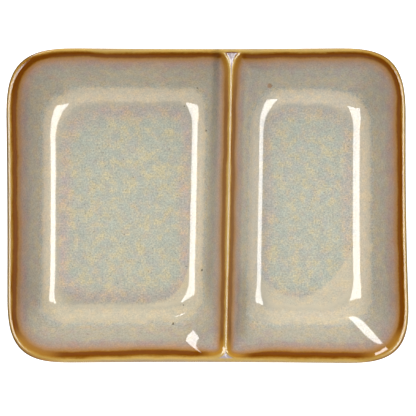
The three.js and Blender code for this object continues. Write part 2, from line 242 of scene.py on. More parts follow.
# %% The skin and its bookkeeping
class Skin:
    """All points of the surface, what is known of each, and its triangles by zone."""

    def __init__(self):
        self.points, self.facts, self.faces, self.count = [], {}, {}, 0
        self.names = ("coat", "down", "edge", "land", "amber")

    def add(self, points, coat, down=0, edge=0, land=0, amber=0):
        """Adds rings of points and returns their numbers as a grid. Coat is the glaze's thickness,
        down the way from the crest, 0, to the floor's edge, 1, edge the distance from the brink,
        land how deep the point lies in a sunk land, 0 to 1, and amber how clear the brown is."""
        rings, around = points.shape[:2]
        self.points.append(points.reshape(-1, 3))
        for name, value in zip(self.names, (coat, down, edge, land, amber)):
            value = np.asarray(value, float)
            value = value[:, None] if value.ndim == 1 else value
            whole = np.broadcast_to(value, (rings, around)).reshape(-1)
            self.facts.setdefault(name, []).append(whole)
        numbers = self.count + np.arange(rings * around).reshape(rings, around)
        self.count += rings * around
        return numbers

    def quads(self, zone, corners):
        """Two triangles for each row of four numbers, without those that have no area."""
        triangles = joined([corners[:, [0, 1, 2]], corners[:, [0, 2, 3]]])
        a, b, c = triangles.T
        keep = (a != b) & (b != c) & (c != a)
        self.faces.setdefault(zone, []).append(triangles[keep])

    def loft(self, zone, grid, turned):
        """Bands between the rings of a grid. Turned puts the face on the other side."""
        a, b = grid[:-1], grid[1:]
        corners = np.stack([a, np.roll(a, -1, 1), np.roll(b, -1, 1), b], axis=-1).reshape(-1, 4)
        self.quads(zone, corners[:, ::-1] if turned else corners)

    def cap(self, zone, ring, middle, turned):
        """Closes a ring by a fan round one point in its middle."""
        fan = np.stack([ring, np.roll(ring, -1), 0 * ring + middle], axis=-1)
        self.faces[zone].append(fan[:, ::-1] if turned else fan)


skin = Skin()

# %% [markdown]
# ## Crest, rim and outside
# The crest is the line where rim and divider stand highest. The wells and the outside start from
# it. Where the divider meets the rim, the wells' edges part and leave a small sunk land.

# %% Corners by level
def corner_table(half, level_power, outer, tee, tee_round):
    """Reaches, power and roundness of the four corners of each ring. A corner at the divider
    reaches further along the divider than along the rim."""
    ones = np.ones_like(level_power)
    far, near = (outer(*half[name]) * ones for name in ("far_corner", "near_corner"))
    tees = zip((FAR_TEE, NEAR_TEE), half["floor_tees"], half["tee_fills"])
    far_tee, near_tee = ([tee(*pair, fill) * ones for pair in zip(reaches, floor)]
                         for reaches, floor, fill in tees)
    return {
        "far": ((far, far), level_power, ones),
        "near": ((near, near), level_power, ones),
        "far_tee": (far_tee, ROUND_POWER * ones, tee_round * ones),
        "near_tee": (near_tee[::-1], ROUND_POWER * ones, tee_round * ones),
    }


def outside_plan(half, inset):
    """Rings that follow the dish's outline, each set in evenly."""
    share = (inset / FOOT_INSET).clip(0, 1)
    power = lerp(OUTLINE_POWER, FOOT_POWER, share)
    corners = corner_table(half, power, lambda reach, _: lerp(reach, FOOT_CORNER, share),
                           lambda reach, *_: reach, 0)
    return plan_rings(half, inset, inset, inset, 0 * inset, corners)


# %% Rings that cross the divider's line
def whole_rings(plan_of, z, coat, edge=0):
    """Adds rings round the whole dish as the outer parts of the two halves, and returns the
    numbers along each half, which share the two points on the divider's line."""
    z = np.asarray(z, float)
    outer = lambda half: formed(half, plan_of(half)[:, :OUTER_STEPS + 1], z[:, None])
    large = skin.add(outer(LARGE), coat, edge=edge)
    small = skin.add(outer(SMALL)[:, 1:-1], coat, edge=edge)
    return large, joined([large[:, :1], small, large[:, -1:]], axis=1)


def whole_loop(large, small):
    """The two halves' numbers as one closed run."""
    return joined([large, small[:, 1:-1][:, ::-1]], axis=1)


# %% How deep a land lies
def land_depth(plan):
    """From 0 on a land's borders to 1 in its middle: a smooth step of the distance from the crest,
    times one of the distance from the brink, which is a quarter ellipse."""
    depth = 0
    for (along, across), away in ((FAR_TEE, DISH_WIDTH / 2 - CREST_INSET - plan[..., 1]),
                                  (NEAR_TEE, plan[..., 1] + DISH_WIDTH / 2 - CREST_INSET)):
        past_x = 1 - ((plan[..., 0] - BRINK) / across).clip(None, 1)
        past_y = 1 - ((away - BRINK) / along).clip(None, 1)
        from_brink = (np.hypot(past_x, past_y) - 1) * across
        ramps = [(gap / LAND_EASE).clip(0, 1) for gap in (away, from_brink)]
        depth = depth + np.prod([ramp * ramp * (3 - 2 * ramp) for ramp in ramps], axis=0)
    return depth


# %% Lay the crest
crest_inset = np.array([CREST_INSET])
crest_edge = -wall_section(FAR_RUN, LONG_COVE)[LAND_STEPS - 1, 0]
crest_large, crest_small = whole_rings(lambda half: outside_plan(half, crest_inset),
                                       [DISH_HEIGHT], RIM_COAT, crest_edge)
ridge_plan = outside_plan(LARGE, crest_inset)[:, OUTER_STEPS + 1:]
ridge_land = land_depth(ridge_plan)
ridge = skin.add(formed(LARGE, ridge_plan, DISH_HEIGHT - LAND_DIP * ridge_land), RIM_COAT,
                 edge=crest_edge, land=ridge_land)
large_crest = joined([crest_large, ridge], axis=1)
small_crest = joined([crest_small, ridge], axis=1)
print("points round a well:", large_crest.shape[1])

# %% [markdown]
# ## Wells
# Each well goes down from the crest in level rings, so a wall with more run is flatter: the near
# wall slopes more gently than the end walls. On the floor the rings shrink to a point.

# %% How the glaze's change of colour runs along the brink
DIVIDER_REACH, TEE_REACH = 12, 15
FAR_SLOWER, NEAR_FASTER = 0.2, 0.3
DIVIDER_AMBER, FAR_AMBER = 0.53, 0.2
BRINK_SPLIT = 3


def near_divider(half, brink):
    """How fast the glaze changes colour away from each point of the brink, how far the change lies
    from it, and how amber it is. Along the divider the brown line is narrow, a little amber, and
    on the large well's side further down. It is wider at the far end, narrower at the near end,
    and more amber at both. Each grows evenly over its reach."""
    to_far, to_near = (DISH_WIDTH / 2 - CREST_INSET - side * brink[:, 1] for side in (1, -1))
    on_divider = (1 - brink[:, 0] / DIVIDER_REACH).clip(0, 1)
    far_end, near_end = ((1 - np.hypot(brink[:, 0], to) / TEE_REACH).clip(0, 1)
                         for to in (to_far, to_near))
    speed = 1 + half["divider_speed"] * on_divider - FAR_SLOWER * far_end + NEAR_FASTER * near_end
    amber = np.maximum(near_end, on_divider * (DIVIDER_AMBER + FAR_AMBER * far_end))
    return speed, half["divider_shift"] * on_divider, amber


def edge_facts(half, plan):
    """The distance in plan from the nearest point of the brink, less than 0 above it, times the
    speed there and less the shift, and the amber there. The brink is split finely, so that no kink
    shows."""
    brink, parts = plan[LAND_STEPS - 1], np.arange(BRINK_SPLIT)[:, None] / BRINK_SPLIT
    fine_brink = lerp(brink[:, None], np.roll(brink, -1, 0)[:, None], parts).reshape(-1, 2)
    away = np.hypot(*np.moveaxis(plan[:, :, None] - fine_brink, -1, 0))
    speed, shift, amber = (fact[away.argmin(2)] for fact in near_divider(half, fine_brink))
    way = np.where(np.arange(len(plan))[:, None] < LAND_STEPS, -1, 1) * away.min(2)
    return way * speed - shift, amber


# %% How the corners change on the way down
CREST_SHARE = CREST_INSET / FOOT_INSET
CUBIC_TOP = 6.75


def well_corners(half, share):
    """Corners of a well's rings at these shares of the way down. The outer ones change early, by
    one minus the cube of what is left, and those at the divider evenly, plus a fill of the share
    times the square of what is left, scaled to 1. The lip opens their mitres into curves."""
    left = 1 - share
    power = lerp(lerp(OUTLINE_POWER, FOOT_POWER, CREST_SHARE), FLOOR_POWER, share)
    early, upper = 1 - left ** 3, CUBIC_TOP * share * left ** 2
    outer = lambda reach, floor_reach: lerp(lerp(reach, FOOT_CORNER, CREST_SHARE), floor_reach, early)
    tee = lambda reach, floor_reach, fill: lerp(reach, floor_reach, share) + fill * upper
    opened = joined([lip_shares / LAND_END, np.ones(len(share))])[:len(share)].clip(0, 1)
    return corner_table(half, power, outer, tee, opened)


# %% The floor's rings
FLOOR_RINGS, FLOOR_BAND, FAR_FROM_BRINK = 25, 16, 30


def lay_floor(half, floor_edge, edge):
    """Rings that shrink evenly to the middle of the floor, and a point there."""
    middle = (floor_edge.max(0) + floor_edge.min(0)) / 2
    shrink = np.linspace(1, 0, FLOOR_RINGS + 1)[1:, None, None]
    plan = middle + (floor_edge - middle) * shrink
    inward = np.hypot(*np.moveaxis((plan - floor_edge), -1, 0))
    flat = formed(half, plan, np.full((FLOOR_RINGS, 1), FLOOR_LEVEL))
    rings = skin.add(flat[:-1], FLOOR_COAT, 1 + inward[:-1] / FLOOR_BAND, edge + inward[:-1])
    centre = skin.add(flat[-1:, :1], FLOOR_COAT, 1 + inward[-1].mean() / FLOOR_BAND, FAR_FROM_BRINK)
    return rings, centre[0, 0]


# %% Sink a well
def sink_well(zone, half, crest):
    """Rings of lip, wall and cove, and the floor."""
    end, far = wall_section(half["run"], END_COVE), wall_section(FAR_RUN, LONG_COVE)
    near, divider = wall_section(NEAR_RUN, LONG_COVE), wall_section(half["divider_run"], DIVIDER_COVE)
    share = end[:, 0] / end[-1, 0]
    plan = plan_rings(half, CREST_INSET + end[:, 0], CREST_INSET + far[:, 0],
                      CREST_INSET + near[:, 0], divider[:, 0], well_corners(half, share))
    coat = joined([lerp(RIM_COAT, WALL_COAT, lip_shares), np.full(len(wall_shares), WALL_COAT),
                   lerp(WALL_COAT, FLOOR_COAT, cove_shares)])
    land = np.where(np.arange(len(end))[:, None] < LAND_STEPS, land_depth(plan), 0)
    edge, amber = edge_facts(half, plan)
    level = (DISH_HEIGHT - end[:, 1])[:, None] - LAND_DIP * land
    walls = skin.add(formed(half, plan, level), coat, share, edge, land, amber)
    floor, centre = lay_floor(half, plan[-1], edge[-1:])
    on_lip, turned = len(lip_shares), half["side"] > 0
    skin.loft("rim", joined([crest, walls[:on_lip]]), turned)
    skin.loft(zone, joined([walls[on_lip - 1:], floor]), turned)
    skin.cap(zone, floor[-1], centre, turned)


sink_well("large_well", LARGE, large_crest)
sink_well("small_well", SMALL, small_crest)
print("points so far:", skin.count)

# %% [markdown]
# ## Rim roll, outside wall, foot and underside
# From the crest a quarter ellipse rolls the rim over, a Bezier curve draws the wall in to the foot,
# and the foot is turned square with eased edges. A channel under the divider keeps the clay as
# thick as the walls, as pressed ware has it, so that it dries evenly.

# %% Down the outside
ROLL_STEPS, OUTSIDE_STEPS = 10, 30
OUTSIDE_CURVE_SHARES = [(0, 1), (0.13, 0.66), (0.5, 0.15), (1, 0)]
glaze_line, shoulder = FOOT_HEIGHT + GLAZE_LINE_GAP, DISH_HEIGHT - SHOULDER_DROP

roll = np.linspace(0, np.pi / 2, ROLL_STEPS + 1)[1:]
roll_inset = CREST_INSET * (1 - np.sin(roll))
roll_z = DISH_HEIGHT - SHOULDER_DROP * (1 - np.cos(roll))
roll_coat = lerp(RIM_COAT, OUTSIDE_COAT, shares(ROLL_STEPS)[1:])
rolled = whole_rings(lambda half: outside_plan(half, roll_inset), roll_z, roll_coat,
                     crest_edge - CREST_INSET + roll_inset)
rim_loop = joined([whole_loop(crest_large, crest_small), whole_loop(*rolled)])
skin.loft("rim", rim_loop, True)

curve = bezier([(run * FOOT_INSET, lerp(glaze_line, shoulder, rise))
                for run, rise in OUTSIDE_CURVE_SHARES], shares(OUTSIDE_STEPS)[1:])
outside = whole_rings(lambda half: outside_plan(half, curve[:, 0]), curve[:, 1], OUTSIDE_COAT)
outside_loop = joined([rim_loop[-1:], whole_loop(*outside)])
skin.loft("outside", outside_loop, True)

# %% The bare foot
FOOT_WALL_STEPS, FOOT_ROUND_STEPS, FOOT_FLAT_STEPS = 4, 5, 4
foot_outer, foot_inner = FOOT_INSET + FOOT_EASE / 2, FOOT_INSET + FOOT_WIDTH
recess_inset = foot_inner + FOOT_DRAFT
ease = shares(FOOT_ROUND_STEPS)[1:]

# Inset and height of the foot's rings: wall, eased edge, flat face, eased edge.
section = joined([
    bezier([(foot_outer, FOOT_HEIGHT), (foot_outer, FOOT_EASE)], shares(FOOT_WALL_STEPS)),
    bezier([(foot_outer, FOOT_EASE), (foot_outer, 0), (FOOT_INSET + FOOT_EASE, 0)], ease),
    bezier([(FOOT_INSET + FOOT_EASE, 0), (foot_inner - FOOT_EASE, 0)], shares(FOOT_FLAT_STEPS)[1:]),
    bezier([(foot_inner - FOOT_EASE, 0), (foot_inner, 0), (foot_inner, FOOT_EASE)], ease)])
foot = whole_loop(*whole_rings(lambda half: outside_plan(half, section[:, 0]), section[:, 1], 0))
recess = whole_loop(*whole_rings(lambda half: outside_plan(half, np.array([recess_inset])),
                                 [RECESS_RISE], UNDERSIDE_COAT))
skin.loft("foot", joined([outside_loop[-1:], foot, recess]), True)

# %% The recess and the relief channel
CHANNEL_STEPS, CHANNEL_ROOF = 16, 0.28
CHANNEL_CURVE_SHARES = [(1, 0), (0.72, 0.5), (0.5, 1), (CHANNEL_ROOF, 1)]
channel = bezier(CHANNEL_CURVE_SHARES, shares(CHANNEL_STEPS))
channel_depth = DISH_HEIGHT - DIVIDER_COVER - RECESS_RISE


def channel_plan(half):
    """A slot under the divider that draws in at its ends as it narrows."""
    half_width = CHANNEL_WIDTH / 2 * channel[:, 0]
    inset = recess_inset + CHANNEL_END_GAP + CHANNEL_END_RUN * (1 - channel[:, 0])
    ones = np.ones(len(channel))
    pair = (half_width, half_width)
    bend, mitre = ((pair, ROUND_POWER * ones, share * ones) for share in (1, 0))
    corners = {"far": bend, "near": bend, "far_tee": mitre, "near_tee": mitre}
    return plan_rings(half, half["span"] - half_width, inset, inset, 0 * inset, corners)


slot_large, slot_small = whole_rings(channel_plan, RECESS_RISE + channel_depth * channel[:, 1],
                                     UNDERSIDE_COAT)
skin.loft("underside", joined([recess, whole_loop(slot_large, slot_small)]), True)
roof_a, roof_b = slot_large[-1], slot_small[-1]
skin.quads("underside", np.stack([roof_a[1:], roof_a[:-1], roof_b[:-1], roof_b[1:]], axis=1))
print("points in the skin:", skin.count)

# %% [markdown]
# ## From skin to solid pieces
# The clay is the skin set back along its normals by the glaze's thickness, so both meet face to
# face. A Solidify modifier would give one thickness, but the coat is thin at the rim and thick on
# the floor. The normals are worked out once, on the whole skin.

# %% Normals of the whole skin
points = joined(skin.points)
facts = {name: joined(parts) for name, parts in skin.facts.items()}
coats = facts.pop("coat")
zones = {zone: joined(parts) for zone, parts in skin.faces.items()}
every_face = joined(list(zones.values()))


def point_normals(at, faces):
    """A point's normal is the sum of its faces' cross products, which weighs them by area, scaled
    to one."""
    a, b, c = at[faces[:, 0]], at[faces[:, 1]], at[faces[:, 2]]
    cross = np.cross(b - a, c - a)
    total = np.stack([np.bincount(faces.reshape(-1), np.repeat(cross[:, k], 3), len(at))
                      for k in range(3)], axis=1)
    return total / np.linalg.norm(total, axis=1, keepdims=True).clip(1e-12)


normals = point_normals(points, every_face)
clay = points - normals * coats[:, None]
print("triangles in the skin:", len(every_face))


# %% A mesh from arrays
def in_scene(name, data):
    """An object that shows this mesh, light or camera."""
    thing = bpy.data.objects.new(name, data)
    bpy.context.scene.collection.objects.link(thing)
    return thing


def make_piece(name, at, faces, facing, copies):
    """A mesh object from points in millimetres, triangles, and a normal for each triangle corner,
    where zero leaves it to the mesh. What is known of the skin's points goes along as point
    attributes, once for each copy of the skin that the points hold."""
    used, local = np.unique(faces.reshape(-1), return_inverse=True)
    mesh = bpy.data.meshes.new(name)
    mesh.vertices.add(len(used))
    mesh.vertices.foreach_set("co", (at[used] * MM).astype(np.float32).reshape(-1))
    mesh.loops.add(faces.size)
    mesh.loops.foreach_set("vertex_index", local.reshape(-1).astype(np.int32))
    mesh.polygons.add(len(faces))
    mesh.polygons.foreach_set("loop_start", np.arange(0, faces.size, 3, dtype=np.int32))
    for fact, values in facts.items():
        shown = np.tile(values, copies)[used].astype(np.float32)
        mesh.attributes.new(fact, "FLOAT", "POINT").data.foreach_set("value", shown)
    mesh.update()
    mesh.shade_smooth()
    mesh.normals_split_custom_set(facing.reshape(-1, 3))
    return in_scene(name, mesh)


# %% Glaze coats and the clay body
def coat_piece(name, zone):
    """The coat over one zone: skin outside, clay's face inside, and ribbons round its borders."""
    top, n = zones[zone], len(points)
    edges = joined([top[:, [0, 1]], top[:, [1, 2]], top[:, [2, 0]]])
    forward, back = edges[:, 0] * n + edges[:, 1], edges[:, 1] * n + edges[:, 0]
    border = edges[~np.isin(forward, back)]
    a, b = border.T
    ribbons = joined([np.stack([b, a, a + n], 1), np.stack([b, a + n, b + n], 1)])
    faces = joined([top, top[:, ::-1] + n, ribbons])
    facing = joined([normals[top], -normals[top[:, ::-1]], np.zeros((len(ribbons), 3, 3))])
    return make_piece(name, joined([points, clay]), faces, facing, 2)


large_coat, small_coat, rim_coat, outside_coat, underside_coat = (
    coat_piece(zone + "_coat", zone)
    for zone in ("large_well", "small_well", "rim", "outside", "underside"))
clay_body = make_piece("clay_body", clay, every_face, point_normals(clay, every_face)[every_face], 1)
for piece in (large_coat, small_coat, rim_coat, outside_coat, underside_coat, clay_body):
    print(f"{piece.name}: {len(piece.data.polygons)} triangles")

# %% [markdown]
# ## Each piece takes its place in the model
# Every coat stands for its node of the imported model and rides with the one body.

# %% Tie the pieces to the model
for piece, node, slot in (
    (clay_body, "stoneware_body", "bare_stoneware"),
    (large_coat, "large_well_glaze", "well_glaze"),
    (small_coat, "small_well_glaze", "well_glaze"),
    (rim_coat, "rim_glaze", "rim_glaze"),
    (outside_coat, "outer_wall_glaze", "outside_glaze"),
    (underside_coat, "underside_glaze", "underside_glaze"),
):
    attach(piece, "root")
    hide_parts(node)

# %% [markdown]
# ## Shader maths as plain expressions
# A glaze is a recipe, and reads best as one. A small class wraps a socket, so that `1 - mask` adds
# its Math node. Colours go through Mix nodes, because a Math node would turn them grey.

# %% A socket that can be reckoned with
class Wire:
    """The output of a node. Arithmetic on it adds Math nodes, or Vector Math for a vector."""

    def __init__(self, recipe, socket):
        self.recipe, self.socket = recipe, socket

    def reckon(self, operation, *values):
        """A Math or Vector Math node on these values, in their order."""
        if any(isinstance(v, Wire) and v.socket.type == "VECTOR" for v in values):
            sockets = dict(enumerate(values))
            if operation == "MULTIPLY" and not isinstance(values[1], (tuple, Wire)):
                operation, sockets = "SCALE", {0: values[0], 3: values[1]}
            return self.recipe.add("VectorMath", {"operation": operation}, sockets)
        return self.recipe.add("Math", {"operation": operation}, dict(enumerate(values)))

    def __add__(self, other): return self.reckon("ADD", self, other)
    def __radd__(self, other): return self.reckon("ADD", other, self)
    def __sub__(self, other): return self.reckon("SUBTRACT", self, other)
    def __rsub__(self, other): return self.reckon("SUBTRACT", other, self)
    def __mul__(self, other): return self.reckon("MULTIPLY", self, other)
    def __rmul__(self, other): return self.reckon("MULTIPLY", other, self)
    def __truediv__(self, other): return self.reckon("DIVIDE", self, other)

    def step(self, start, end):
        """A smooth step: 0 before start, 1 after end, easing in between. Start may be the larger."""
        return self.recipe.add("MapRange", {"interpolation_type": "SMOOTHSTEP"},
                               {"Value": self, "From Min": start, "From Max": end})


# %% A node tree under construction
def tint(red, green, blue):
    """A colour from the 0 to 255 of a colour chart as the linear light that shaders need."""
    c = np.array([red, green, blue]) / 255
    linear = np.where(c <= 0.04045, c / 12.92, ((c + 0.055) / 1.055) ** 2.4)
    return tuple(float(v) for v in linear) + (1,)


class Recipe:
    """A node tree, of a material, a light or the room, and the one way to add a node to it."""

    def __init__(self, owner):
        owner.use_nodes = True
        self.tree = owner.node_tree
        self.tree.nodes.clear()

    def add(self, kind, settings=None, values=None, out=0):
        """Adds a node of a kind, such as Math. Its settings come first, because they decide which
        sockets it has. Stops fill a colour ramp. Values are numbers, colours or wires."""
        node = self.tree.nodes.new("ShaderNode" + kind)
        for name, setting in (settings or {}).items():
            if name == "stops":
                self.fill(node.color_ramp, setting)
            else:
                setattr(node, name, setting)
        for name, value in (values or {}).items():
            if isinstance(value, Wire):
                self.tree.links.new(value.socket, node.inputs[name])
            else:
                node.inputs[name].default_value = value
        return Wire(self, node.outputs[out]) if node.outputs else node

    def fill(self, ramp, stops):
        """Sets a ramp's stops, given as pairs of place and colour."""
        while len(ramp.elements) < len(stops):
            ramp.elements.new(0.5)
        for element, (place, colour) in zip(ramp.elements, stops):
            element.position, element.color = place, colour


# %% A material under construction
class Finish(Recipe):
    """A material, with the textures that a glaze is built from. Places are in millimetres."""

    def __init__(self, name):
        self.material = bpy.data.materials.new(name)
        super().__init__(self.material)
        self.place = self.add("TexCoord", out="Object") * (1 / MM)

    def fact(self, name):
        """One of the point attributes, such as the distance from the brink."""
        return self.add("Attribute", {"attribute_name": name}, out="Fac")

    def noise(self, size, detail=2, roughness=0.5, at=None, shift=0):
        """Noise from 0 to 1 with blots of about this size in millimetres."""
        spot = (at or self.place) + (shift, shift, shift)
        return self.add("TexNoise", {}, {"Vector": spot, "Scale": 1 / size, "Detail": detail,
                                         "Roughness": roughness})

    def blend(self, share, under, over, way="MIX"):
        """Mixes two colours by a share, in one of the ways that a Mix node knows."""
        return self.add("Mix", {"data_type": "RGBA", "blend_type": way},
                        {0: share, 6: under, 7: over}, out=2)

    def stain_light_or_shade(self, share, under, over):
        """Multiplies one colour by another, by a share."""
        return self.blend(share, under, over, "MULTIPLY")

    def ramp(self, value, low, high, stops):
        """A colour for each value, from stops given at values between low and high."""
        scaled = [((at - low) / (high - low), colour) for at, colour in stops]
        return self.add("ValToRGB", {"stops": scaled}, {0: (value - low) / (high - low)})

    def surface(self, colour, roughness, bump, depth, **constants):
        """The shader itself. Bump is a height from 0 to 1, and depth what 1 means in millimetres."""
        normal = self.add("Bump", {}, {"Height": bump, "Distance": depth * MM, "Strength": 1})
        values = {"Base Color": colour, "Roughness": roughness, "Normal": normal, **constants}
        shader = self.add("BsdfPrincipled", {}, values)
        self.add("OutputMaterial", {}, {"Surface": shader})
        return self.material


# %% [markdown]
# ## The glaze
# A reactive glaze carries a little titanium and iron. On an edge it runs thin and breaks to brown,
# below that it is tan and lilac, the slope is a mottled grey, and where it gathers in the cove and
# on the floor it turns to cream. An image could show this, but a recipe that reads two facts of
# each point, its distance from the brink and its way down the wall, follows every curve exactly.

# %% Colours of the glaze
STRAW, GOLD = tint(164, 140, 106), tint(184, 156, 98)
AMBER, HONEY = tint(190, 155, 80), tint(174, 132, 60)
CHESTNUT, IRON, RUST = tint(138, 90, 16), tint(119, 62, 0), tint(146, 94, 20)
TAN, ROSE, MAUVE, LILAC = tint(166, 122, 68), tint(173, 134, 97), tint(173, 147, 127), tint(171, 153, 138)
ASH, OLIVE, STONE = tint(172, 163, 146), tint(179, 171, 151), tint(187, 178, 157)
CREAM, IVORY, BISQUE = tint(218, 206, 181), tint(229, 216, 190), tint(205, 197, 178)
PALE, DUNE, HAZE = tint(201, 199, 179), tint(219, 208, 182), tint(190, 185, 168)
OCHRE, CARAMEL = tint(176, 126, 46), tint(158, 112, 52)
ORCHID, SPECK = tint(180, 166, 168), tint(84, 70, 58)

# These only multiply another colour, so they are bare factors for its red, green and blue.
COOL, WARM, BLUSH = (0.89, 0.97, 1.04, 1), (1.15, 1.06, 0.86, 1), (1, 0.92, 1, 1)
# The first is painted light on the near side of the rim's roll, the second painted shade on the roll at
# the ends.
LIT, ROLL_SHADE, FAINT = (1.13, 1.14, 1.25, 1), (0.78, 0.76, 0.8, 1), (0.86, 0.88, 0.92, 1)
# All three are painted: painted shade on the end walls, painted shade in a strip along the divider's
# foot, and a painted dark reflection along the roll's outline at the ends.
SHADE, STRIP_SHADE, DARK_REFLECTION = (0.79, 0.775, 0.79, 1), (0.6, 0.6, 0.6, 1), (0.36, 0.3, 0.2, 1)
# The first is painted shade on the cove band of the near wall.
NEAR_BAND_SHADE, FRESH = (0.865, 0.875, 0.855, 1), (1.06, 1.08, 1.12, 1)


# %% Mottles that float in the glaze
CLOUD_SIZE, BLUSH_SIZE, DOT_SIZE, GRAIN_SIZE, PATCH_SIZE = 2.8, 3.4, 0.6, 0.5, 2.4


def mottled(mix, colour, share, rosy):
    """Cool and warm clouds, rosy ones by a share of their own, a fine grain and a few iron dots.
    The clouds multiply the colour, so that brown stays brown under them."""
    cloud = mix.noise(CLOUD_SIZE, 5, 0.53, shift=7)
    colour = mix.stain_light_or_shade((1 - cloud.step(0.35, 0.54)) * share, colour, COOL)
    colour = mix.stain_light_or_shade(cloud.step(0.49, 0.67) * share, colour, WARM)
    blush = mix.noise(BLUSH_SIZE, 3, shift=53)
    colour = mix.stain_light_or_shade(blush.step(0.48, 0.66) * rosy, colour, BLUSH)
    dots = mix.noise(DOT_SIZE, 1, shift=97).step(0.7, 0.76)
    colour = mix.blend(dots * share * 0.5, colour, SPECK)
    fine = mix.noise(GRAIN_SIZE, 2, 0.7, shift=19)
    grain = fine * 1.4 + mix.noise(PATCH_SIZE, 3, shift=41) * 0.3 + 0.15
    return mix.stain_light_or_shade(share, colour, grain)


# %% Iron specks, each with its x, y and radius
SPECKS = [(-7.3, 31.4, 0.2), (-3.25, 37.1, 0.25), (-0.4, 23.6, 0.3), (-1.7, -20.4, 0.3),
          (-7.6, -31.4, 0.2), (-10.8, -37.3, 0.35), (19.6, 37.7, 0.7)]
RAGGEDNESS, SOFT_FROM, SOFT_TO, LARGE_SPECK = 0.8, 0.7, 1.3, 0.5


def speckled(mix, colour):
    """Specks where the photograph has them, each a blot with a ragged edge."""
    flat = mix.place * (1, 1, 0)
    ragged = (mix.noise(0.5, 2, shift=83) - 0.5) * RAGGEDNESS
    for x, y, radius in SPECKS:
        gap = mix.add("VectorMath", {"operation": "DISTANCE"}, {0: flat, 1: (x, y, 0)}, out="Value")
        blot = 1 - (gap + ragged).step(radius * SOFT_FROM, radius * SOFT_TO)
        colour = mix.blend(blot * 0.8, colour, SPECK if radius < LARGE_SPECK else ROSE)
    return colour


# %% Where a point of a well lies
LEFT_END, RIGHT_END, SMALL_WELL = (-47, -57), (44, 54), (5.6, 7.8)
FAR_WALL, NEAR_WALL = (24, 34), (-24, -31)
FAR_BRINK, NEAR_BRINK = (38, 46), (-38, -46)
CORNER_ENDS, CORNER_SIDES = ((-42, -52), (42, 52)), ((30, 40), (-28, -38))
ROLL_OUTLINE = (-0.88, -0.5)


class Spot:
    """What a recipe knows of a place in the wells, as wires: the point attributes, x and y, and
    how far it belongs to each side and to the small well. The distance and the way down waver by
    noise and shift a little on each side, as the glaze ran there."""

    def __init__(self, mix):
        edge, down, self.land, self.amber = map(mix.fact, ("edge", "down", "land", "amber"))
        x, y = (mix.add("SeparateXYZ", {}, {0: mix.place}, out=axis) for axis in "XY")
        small, left, right = x.step(*SMALL_WELL), x.step(*LEFT_END), x.step(*RIGHT_END)
        far, near, near_rim = y.step(*FAR_WALL), y.step(*NEAR_WALL), y.step(*NEAR_BRINK)
        at_end, at_side = (way.step(*one) + way.step(*other) for way, (one, other) in (
            (x, CORNER_ENDS), (y, CORNER_SIDES)))
        self.corner, self.outline = at_end * at_side, 1 - edge.step(*ROLL_OUTLINE)
        feather, drift = mix.noise(0.9, 2, shift=17) - 0.5, mix.noise(7, shift=31) - 0.5
        edge = edge + (mix.noise(14) - 0.5) * 1.4 + feather * 0.4 + right * 0.25 + self.corner * 0.3
        edge = edge + 0.15 - near_rim * (0.67 - small * 0.4)
        edge = edge + (near_rim * 0.35 + left * far * 0.45) * (1 - edge.step(-0.4, 1.6))
        self.edge = edge + y.step(*FAR_BRINK) * (0.25 - small * 0.2)
        down = down + drift * 0.12 + feather * 0.04 + near * (1 - small) * 0.03
        self.down = down + small * (0.035 - far * 0.09)
        self.x, self.y, self.small, self.feather = x, y, small, feather
        self.left, self.right, self.far, self.near = left, right, far, near


# %% Where the pools end
TURN_FROM, TURN_WIDTH, LARGE_SHORE, LARGE_RISE = -22, 16, -31.5, 6
SMALL_MIDDLE, SMALL_HALF, SMALL_SHORE, SMALL_RISE = 28.5, 15.5, -29, 12


def past_shore(x, y):
    """1 on the near part of each floor, where the pool thins to cream, and 0 in the pool. The
    border turns up towards the divider in the large well, by the sum of a square and an eighth
    power, and is a parabola in the small one."""
    turn, off_middle = (x - TURN_FROM) / TURN_WIDTH, (x - SMALL_MIDDLE) / SMALL_HALF
    square = turn.reckon("MAXIMUM", turn, 0) * turn
    fourth = square * square
    large_line = (square + fourth * fourth) * LARGE_RISE + LARGE_SHORE
    small_line = off_middle * off_middle * SMALL_RISE + SMALL_SHORE
    line = large_line + (small_line - large_line) * x.step(4, 8)
    return (y - line).step(0.8, -0.8)


# %% Where the glaze ran thin
def broken_colour(mix, spot):
    """The colour by the distance from the brink: straw on the roll, then brown, tan and lilac. At
    the near end of the divider and in the near corners it is clear amber instead of brown. The
    roll has painted light on the near side, painted shade at the ends, and a painted dark
    reflection along its outline at the ends."""
    broken = mix.ramp(spot.edge, -2.4, 6, [
        (-2.4, STRAW), (-1, STRAW), (-0.4, GOLD), (0.1, AMBER), (0.4, HONEY), (0.7, CHESTNUT),
        (0.95, IRON), (1.8, IRON), (2.05, RUST), (2.35, TAN), (2.9, ROSE), (3.6, MAUVE), (4.4, LILAC),
        (6, ASH)])
    clear = mix.ramp(spot.edge, -1, 5, [
        (-1, GOLD), (0.3, AMBER), (0.9, OCHRE), (1.5, OCHRE), (2.1, TAN), (2.8, ROSE), (3.8, LILAC),
        (5, LILAC)])
    at_end = spot.x.step(-44, -51) + spot.x.step(46, 53)
    near_corner, far_corner = at_end * spot.y.step(-37, -42), at_end * spot.y.step(35, 41)
    broken = mix.blend(spot.amber.step(0.4, 0.8) + near_corner * 0.7, broken, clear)
    on_roll, near_side = 1 - spot.edge.step(-0.4, 0.5), spot.y.step(-40, -46)
    broken = mix.blend(on_roll * (near_corner * 0.8 + far_corner * 0.6), broken, CARAMEL)
    sides = (spot.left + spot.right * 0.5) * (1 - near_side)
    # Painted light on the near side of the roll, painted shade on the roll at the ends, and a painted
    # dark reflection along the roll's outline at the ends.
    for share, stain_light_or_shade in ((on_roll * near_side, LIT), (on_roll * sides, ROLL_SHADE),
                         (spot.outline * (spot.left + spot.right * 0.7), DARK_REFLECTION)):
        broken = mix.stain_light_or_shade(share, broken, stain_light_or_shade)
    return broken


